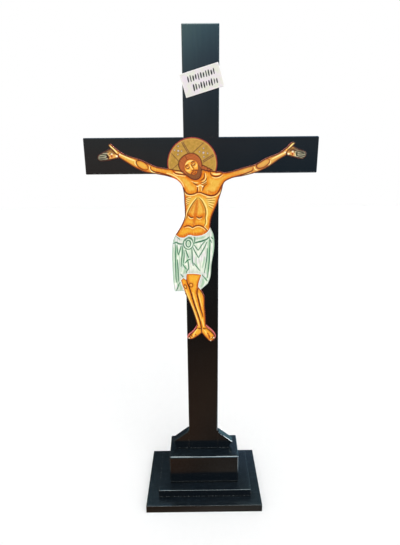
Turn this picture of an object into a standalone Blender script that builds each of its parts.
"""A standing church cross: a board cross on a stepped foot, with a flat painted figure
panel and a tilted title board fixed to its front.

Metres, +Z up. The origin is on the floor under the middle of the foot, and the front
of the cross faces -Y. Figure drawings are in millimetres, x to the right and z up.
"""

import math

import bmesh
import bpy
from mathutils import Matrix, Vector

# The clearance between two pieces that touch
GAP = 0.0003

# The boards of the cross
BOARD_THICKNESS = 0.022
UPRIGHT_WIDTH = 0.082
TOTAL_HEIGHT = 1.220
CROSSBAR_LENGTH = 0.544
CROSSBAR_WIDTH = 0.082
CROSSBAR_CENTRE_HEIGHT = 0.948
ARRIS_RADIUS = 0.002

# The stepped foot, from the floor up. Its upper tiers sit a little off the middle.
BASE_WIDTH = 0.320
BASE_DEPTH = 0.216
BASE_THICKNESS = 0.022
LOWER_TREAD_LEFT = 0.033
LOWER_TREAD_RIGHT = 0.028
LOWER_TREAD_FRONT = 0.031
MIDDLE_THICKNESS = 0.022
UPPER_TREAD_LEFT = 0.031
UPPER_TREAD_RIGHT = 0.033
UPPER_TREAD_FRONT = 0.030
BLOCK_HEIGHT = 0.086
BLOCK_ARRIS_RADIUS = 0.0035

# The brackets between the upright and the pedestal block, left and right. Each tip is
# set back from its end of the block.
BRACKET_SETBACKS = (0.0092, 0.0147)
BRACKET_HEIGHTS = (0.0615, 0.0560)
BRACKET_TIP_HEIGHTS = (0.0250, 0.0210)
BRACKET_TOE_HEIGHT = 0.0105
BRACKET_TOE_CUT = 0.0085

# The figure panel
PANEL_THICKNESS = 0.006
FIGURE_HEIGHT = 0.5135
OUTLINE_STEP = 0.003

# The title board. Its middle stands at a share of the arm above the crossbar's middle.
TITLE_WIDTH = 0.088
TITLE_HEIGHT = 0.050
TITLE_THICKNESS = 0.004
TITLE_SHARE = 0.5875
TITLE_SHIFT = 0.0028
TITLE_TILT = math.radians(16.0)
TITLE_EDGE_RADIUS = 0.0005

# The two rows of painted strokes on the title board
STROKE_WIDTH = 0.0017
STROKE_DEPTH = 0.0004
STROKE_HEIGHT = 0.0100
STROKE_PITCH = 0.0046
STROKE_LEAN = math.radians(13.0)
ROW_COUNTS = (14, 13)
ROW_SHIFTS = (0.0005, 0.0050)
ROW_SPACING = 0.0195

# Heights, widths and depths that follow from the sizes above
BASE_TOP = BASE_THICKNESS
MIDDLE_BOTTOM = BASE_TOP + GAP
MIDDLE_TOP = MIDDLE_BOTTOM + MIDDLE_THICKNESS
BLOCK_BOTTOM = MIDDLE_TOP + GAP
BLOCK_TOP = BLOCK_BOTTOM + BLOCK_HEIGHT
CROSS_BOTTOM = BLOCK_TOP + GAP
MIDDLE_WIDTH = BASE_WIDTH - LOWER_TREAD_LEFT - LOWER_TREAD_RIGHT
MIDDLE_DEPTH = BASE_DEPTH - 2 * LOWER_TREAD_FRONT
MIDDLE_SHIFT = (LOWER_TREAD_LEFT - LOWER_TREAD_RIGHT) / 2
BLOCK_WIDTH = MIDDLE_WIDTH - UPPER_TREAD_LEFT - UPPER_TREAD_RIGHT
BLOCK_DEPTH = MIDDLE_DEPTH - 2 * UPPER_TREAD_FRONT
BLOCK_SHIFT = MIDDLE_SHIFT + (UPPER_TREAD_LEFT - UPPER_TREAD_RIGHT) / 2
CROSS_FRONT = -BOARD_THICKNESS / 2

# The figure as drawn: its whole height, and its halo, measured from the crossing's centre
DRAWN_HEIGHT = 513.5
HALO_CENTRE = (-21.0, -17.5)
HALO_RADIUS = 58.0

# The silhouette's stretches, in order round the figure from the halo's left end.
# Each is a smooth line, and two that meet make a corner.
LEFT_ARM_TOP = [
    (-78.0, -28.5), (-92, -26.5), (-108, -23), (-120, -17.5), (-137, -9.5), (-158, -2.5),
    (-178, 4), (-187, 10), (-201, 21), (-209, 28), (-213.5, 26), (-209.5, 17.5),
]
LEFT_HAND = [
    (-209.5, 17.5), (-221, 12), (-231, 7), (-238.5, 1.5), (-240.5, -4), (-237, -9),
    (-225, -10.5), (-208, -7.5), (-190, -3.5),
]
LEFT_ARM_UNDER = [
    (-190, -3.5), (-170, -16.5), (-150, -28.5), (-134, -35.5), (-105, -41), (-75, -47.5),
    (-58, -54.5), (-47, -66), (-42.5, -84), (-41.5, -105), (-42, -145), (-50, -163.5),
    (-65, -187),
]
CLOTH_LEFT = [
    (-65, -187), (-71, -202), (-73.5, -225), (-74, -262), (-72, -315), (-70, -331.5),
]
CLOTH_LEFT_HEM = [(-70, -331.5), (-47, -331)]
LEFT_LEG = [
    (-47, -331), (-38.5, -350), (-27, -380), (-19, -407), (-14.5, -426.5),
]
LEFT_FOOT = [
    (-14.5, -426.5), (-27, -444.5), (-37, -453), (-40.8, -461.5), (-31, -466.5),
    (-17, -460), (-2, -449),
]
RIGHT_FOOT = [
    (-2, -449), (9, -463), (20, -472.8), (30, -469), (34.2, -456.5), (28, -445),
    (8.8, -426.5),
]
RIGHT_LEG = [
    (8.8, -426.5), (8.2, -405), (6.2, -375), (5, -346), (-3.5, -328),
]
CLOTH_RIGHT_HEM = [(-3.5, -328), (14, -312)]
CLOTH_RIGHT = [
    (14, -312), (19, -300), (23.5, -262), (30.5, -205), (28, -185), (20, -168),
]
RIGHT_FLANK = [
    (20, -168), (23, -147), (37, -112.5), (48, -80), (54, -61), (68, -53), (100, -46.5),
    (133, -37.5), (158, -25.5), (182, -9.5), (198, -0.5),
]
RIGHT_HAND = [
    (198, -0.5), (220, -6.5), (237, -8.5), (243.2, -1.5), (241, 6), (228, 11.5),
    (211.5, 19.5),
]
RIGHT_ARM_TOP = [
    (211.5, 19.5), (216.5, 26), (212, 28.5), (198, 17.5), (182, 5.5), (150, -7),
    (128, -19.5), (98, -28), (65, -37), (54, -38.3), (44, -36), (33.7, -36.8),
]


def clear_scene():
    """Removes whatever the scene holds."""
    for item in list(bpy.data.objects):
        bpy.data.objects.remove(item)


def collection(name):
    """A new collection in the scene."""
    made = bpy.data.collections.new(name)
    bpy.context.scene.collection.children.link(made)
    return made


def material(name, colour, roughness):
    """A painted surface."""
    made = bpy.data.materials.new(name)
    made.use_nodes = True
    shader = made.node_tree.nodes["Principled BSDF"]
    shader.inputs["Base Color"].default_value = (*colour, 1.0)
    shader.inputs["Roughness"].default_value = roughness
    shader.inputs["Metallic"].default_value = 0.0
    made.diffuse_color = (*colour, 1.0)
    return made


def new_object(name, mesh, group, paint=None):
    """Links a mesh as a named object."""
    made = bpy.data.objects.new(name, mesh)
    group.objects.link(made)
    if paint is not None:
        made.data.materials.append(paint)
    return made


def box_mesh(name, size):
    """A box centred on the origin."""
    shape = bmesh.new()
    bmesh.ops.create_cube(shape, size=1.0)
    bmesh.ops.scale(shape, vec=Vector(size), verts=shape.verts)
    mesh = bpy.data.meshes.new(name)
    shape.to_mesh(mesh)
    shape.free()
    return mesh


def ease_arrises(item, radius, segments=2):
    """Rounds every arris of a piece."""
    bevel = item.modifiers.new("eased arrises", "BEVEL")
    bevel.width = radius
    bevel.segments = segments
    bevel.limit_method = "ANGLE"
    return bevel


def slab(name, size, shift, bottom, radius, paint, group):
    """One tier of the foot, standing on bottom with its middle at x = shift."""
    item = new_object(name, box_mesh(name, size), group, paint)
    item.location = (shift, 0, bottom + size[2] / 2)
    ease_arrises(item, radius)
    return item


def board(name, size, centre, along, flush, paint, group):
    """A board whose arrises are eased, but stay sharp between the two places flush
    along its length, where the other board of the cross comes level with it."""
    mesh = box_mesh(name, size)
    shape = bmesh.new()
    shape.from_mesh(mesh)
    normal = Vector((0, 0, 0))
    normal[along] = 1.0
    for place in flush:
        bmesh.ops.bisect_plane(
            shape,
            geom=shape.verts[:] + shape.edges[:] + shape.faces[:],
            plane_co=normal * (place - centre[along]),
            plane_no=normal,
        )
    weight = shape.edges.layers.float.new("bevel_weight_edge")
    low, high = (place - centre[along] for place in flush)
    for edge in shape.edges:
        middle = sum((corner.co[along] for corner in edge.verts)) / 2
        eased = edge.calc_face_angle() > math.radians(45) and not low < middle < high
        edge[weight] = 1.0 if eased else 0.0
    shape.to_mesh(mesh)
    shape.free()
    item = new_object(name, mesh, group, paint)
    item.location = centre
    ease_arrises(item, ARRIS_RADIUS).limit_method = "WEIGHT"
    return item


def cut(item, cutter):
    """Takes a cutter's shape out of a piece."""
    cutter.hide_render = True
    cutter.display_type = "WIRE"
    taken = item.modifiers.new(cutter.name, "BOOLEAN")
    taken.operation = "DIFFERENCE"
    taken.solver = "EXACT"
    taken.object = cutter


def box_cutter(name, low, high, group):
    """A cutter that fills a box between two corners."""
    size = [b - a for a, b in zip(low, high)]
    item = new_object(name, box_mesh(name, size), group)
    item.location = [(a + b) / 2 for a, b in zip(low, high)]
    return item


def smooth_line(points, step):
    """A smooth line through the points: cubic spans whose slope at each point is the
    mean of the two chords there, each weighted by the other's length."""
    knots = [Vector(point) for point in points]
    chords = [b - a for a, b in zip(knots, knots[1:])]
    lengths = [chord.length for chord in chords]
    slopes = [chords[0] / lengths[0]]
    for i in range(1, len(chords)):
        before = chords[i - 1] / lengths[i - 1] * lengths[i]
        after = chords[i] / lengths[i] * lengths[i - 1]
        slopes.append((before + after) / (lengths[i - 1] + lengths[i]))
    slopes.append(chords[-1] / lengths[-1])
    line = []
    for i, length in enumerate(lengths):
        count = max(1, math.ceil(length / step))
        for j in range(count):
            t = j / count
            line.append(
                knots[i] * (2 * t**3 - 3 * t**2 + 1)
                + slopes[i] * (length * (t**3 - 2 * t**2 + t))
                + knots[i + 1] * (3 * t**2 - 2 * t**3)
                + slopes[i + 1] * (length * (t**3 - t**2))
            )
    return line


def halo_arc(start, end, step):
    """The halo's rim from its right end over the top to its left end."""
    centre = Vector(HALO_CENTRE)
    first = math.atan2(start[1] - centre.y, start[0] - centre.x)
    last = math.atan2(end[1] - centre.y, end[0] - centre.x) % (2 * math.pi)
    count = math.ceil((last - first) * HALO_RADIUS / step)
    angles = [first + (last - first) * i / count for i in range(count)]
    return [centre + HALO_RADIUS * Vector((math.cos(a), math.sin(a))) for a in angles]


def figure_outline():
    """The whole silhouette, in metres from the centre of the crossing."""
    scale = FIGURE_HEIGHT / DRAWN_HEIGHT
    step = OUTLINE_STEP / scale
    stretches = [
        LEFT_ARM_TOP, LEFT_HAND, LEFT_ARM_UNDER, CLOTH_LEFT, CLOTH_LEFT_HEM, LEFT_LEG,
        LEFT_FOOT, RIGHT_FOOT, RIGHT_LEG, CLOTH_RIGHT_HEM, CLOTH_RIGHT, RIGHT_FLANK,
        RIGHT_HAND, RIGHT_ARM_TOP,
    ]
    line = []
    for stretch in stretches:
        line += smooth_line(stretch, step)
    line += halo_arc(RIGHT_ARM_TOP[-1], LEFT_ARM_TOP[0], step)
    return [point * scale for point in line]


def flat_piece(name, outline, thickness, front, paint, group):
    """A piece sawn from a flat board: an outline in x and z with its face at y = front."""
    curve = bpy.data.curves.new(name, "CURVE")
    curve.dimensions = "2D"
    curve.fill_mode = "BOTH"
    curve.extrude = thickness / 2
    spline = curve.splines.new("POLY")
    spline.points.add(len(outline) - 1)
    for corner, point in zip(spline.points, outline):
        corner.co = (point[0], point[1], 0.0, 1.0)
    spline.use_cyclic_u = True
    drawn = bpy.data.objects.new(name + " outline", curve)
    group.objects.link(drawn)
    drawn.rotation_euler = (math.pi / 2, 0, 0)
    drawn.location = (0, front + thickness / 2, 0)
    bpy.context.view_layer.update()
    evaluated = drawn.evaluated_get(bpy.context.evaluated_depsgraph_get())
    mesh = bpy.data.meshes.new_from_object(evaluated)
    mesh.name = name
    shape = bmesh.new()
    shape.from_mesh(mesh)
    bmesh.ops.remove_doubles(shape, verts=shape.verts, dist=0.00001)
    bmesh.ops.recalc_face_normals(shape, faces=shape.faces)
    shape.to_mesh(mesh)
    shape.free()
    item = new_object(name, mesh, group)
    item.matrix_world = drawn.matrix_world.copy()
    bpy.data.objects.remove(drawn)
    item.data.materials.clear()
    item.data.materials.append(paint)
    return item


def make_foot(paint, group):
    """Two slabs and the pedestal block, one on another."""
    base = (BASE_WIDTH, BASE_DEPTH, BASE_THICKNESS)
    middle = (MIDDLE_WIDTH, MIDDLE_DEPTH, MIDDLE_THICKNESS)
    block = (BLOCK_WIDTH, BLOCK_DEPTH, BLOCK_HEIGHT)
    slab("base_slab", base, 0.0, 0.0, ARRIS_RADIUS, paint, group)
    slab("middle_slab", middle, MIDDLE_SHIFT, MIDDLE_BOTTOM, ARRIS_RADIUS, paint, group)
    slab("pedestal_block", block, BLOCK_SHIFT, BLOCK_BOTTOM, BLOCK_ARRIS_RADIUS,
         paint, group)


def make_cross(paint, group, cutters):
    """The upright and the crossbar, halved into each other: the crossbar keeps the
    front half of the board at the crossing and the upright keeps the back half."""
    crossbar_low = CROSSBAR_CENTRE_HEIGHT - CROSSBAR_WIDTH / 2
    crossbar_high = CROSSBAR_CENTRE_HEIGHT + CROSSBAR_WIDTH / 2
    half_upright = UPRIGHT_WIDTH / 2
    upright = board(
        "upright",
        (UPRIGHT_WIDTH, BOARD_THICKNESS, TOTAL_HEIGHT - CROSS_BOTTOM),
        (0, 0, (TOTAL_HEIGHT + CROSS_BOTTOM) / 2),
        2, (crossbar_low, crossbar_high), paint, group,
    )
    crossbar = board(
        "crossbar",
        (CROSSBAR_LENGTH, BOARD_THICKNESS, CROSSBAR_WIDTH),
        (0, 0, CROSSBAR_CENTRE_HEIGHT),
        0, (-half_upright, half_upright), paint, group,
    )
    front, back = -BOARD_THICKNESS, BOARD_THICKNESS
    cut(upright, box_cutter(
        "upright housing",
        (-UPRIGHT_WIDTH, front, crossbar_low - GAP),
        (UPRIGHT_WIDTH, GAP / 2, crossbar_high + GAP),
        cutters,
    ))
    cut(crossbar, box_cutter(
        "crossbar housing",
        (-half_upright - GAP, -GAP / 2, crossbar_low - CROSSBAR_WIDTH),
        (half_upright + GAP, back, crossbar_high + CROSSBAR_WIDTH),
        cutters,
    ))


def make_brackets(paint, group):
    """A bracket on each side of the upright, sloping down to a tip and cut back under it."""
    sides = zip(
        ("bracket_left", "bracket_right"), (-1, 1),
        BRACKET_SETBACKS, BRACKET_HEIGHTS, BRACKET_TIP_HEIGHTS,
    )
    inner = UPRIGHT_WIDTH / 2 + GAP
    for name, side, setback, height, tip_height in sides:
        tip = BLOCK_WIDTH / 2 + side * BLOCK_SHIFT - setback
        toe = tip - BRACKET_TOE_CUT
        profile = [
            (inner, CROSS_BOTTOM),
            (toe, CROSS_BOTTOM),
            (toe, CROSS_BOTTOM + BRACKET_TOE_HEIGHT),
            (tip, CROSS_BOTTOM + tip_height),
            (inner, CROSS_BOTTOM + height),
        ]
        outline = [(side * x, z) for x, z in profile]
        item = flat_piece(name, outline, BOARD_THICKNESS, CROSS_FRONT, paint, group)
        ease_arrises(item, ARRIS_RADIUS)


def make_figure(paint, group):
    """The panel sawn to the outline of the figure and its halo."""
    outline = [
        (point.x, point.y + CROSSBAR_CENTRE_HEIGHT) for point in figure_outline()
    ]
    front = CROSS_FRONT - GAP - PANEL_THICKNESS
    flat_piece("figure_panel", outline, PANEL_THICKNESS, front, paint, group)


def stroke_cutter(front, centre, group):
    """Two rows of short leaning strokes that stand for the inscription. They aren't
    letters: their lean and length follow waves along the row."""
    shape = bmesh.new()
    for row, (count, shift) in enumerate(zip(ROW_COUNTS, ROW_SHIFTS)):
        for i in range(count):
            wave = math.cos(2.3 * i + 1.1 * row)
            height = STROKE_HEIGHT * (0.78 + 0.22 * math.sin(1.9 * i + row))
            across = (i - (count - 1) / 2) * STROKE_PITCH + shift
            above = (0.5 - row) * ROW_SPACING
            size = Vector((STROKE_WIDTH, 2 * STROKE_DEPTH, height))
            place = Matrix.Translation((across, 0, above))
            lean = Matrix.Rotation(STROKE_LEAN * wave, 4, "Y")
            made = bmesh.ops.create_cube(shape, size=1.0)
            bmesh.ops.scale(shape, vec=size, verts=made["verts"])
            bmesh.ops.transform(shape, matrix=place @ lean, verts=made["verts"])
    mesh = bpy.data.meshes.new("title strokes")
    shape.to_mesh(mesh)
    shape.free()
    item = new_object("title strokes", mesh, group)
    item.rotation_euler = (0, -TITLE_TILT, 0)
    item.location = (centre[0], front, centre[1])
    return item


def make_title(paint, group, cutters):
    """The small board above the figure, tilted up to the right."""
    rise = TITLE_SHARE * (TOTAL_HEIGHT - CROSSBAR_CENTRE_HEIGHT)
    centre = (TITLE_SHIFT, CROSSBAR_CENTRE_HEIGHT + rise)
    front = CROSS_FRONT - GAP - TITLE_THICKNESS
    size = (TITLE_WIDTH, TITLE_THICKNESS, TITLE_HEIGHT)
    item = new_object("title_board", box_mesh("title_board", size), group, paint)
    item.location = (centre[0], front + TITLE_THICKNESS / 2, centre[1])
    item.rotation_euler = (0, -TITLE_TILT, 0)
    ease_arrises(item, TITLE_EDGE_RADIUS, 1)
    cut(item, stroke_cutter(front, centre, cutters))


def main():
    clear_scene()
    pieces = collection("church cross")
    cutters = collection("cutters")
    black = material("black paint", (0.012, 0.014, 0.017), 0.35)
    flesh = material("figure paint", (0.72, 0.33, 0.06), 0.5)
    cream = material("title paint", (0.80, 0.74, 0.72), 0.6)
    make_foot(black, pieces)
    make_cross(black, pieces, cutters)
    make_brackets(black, pieces)
    make_figure(flesh, pieces)
    make_title(cream, pieces, cutters)


main()
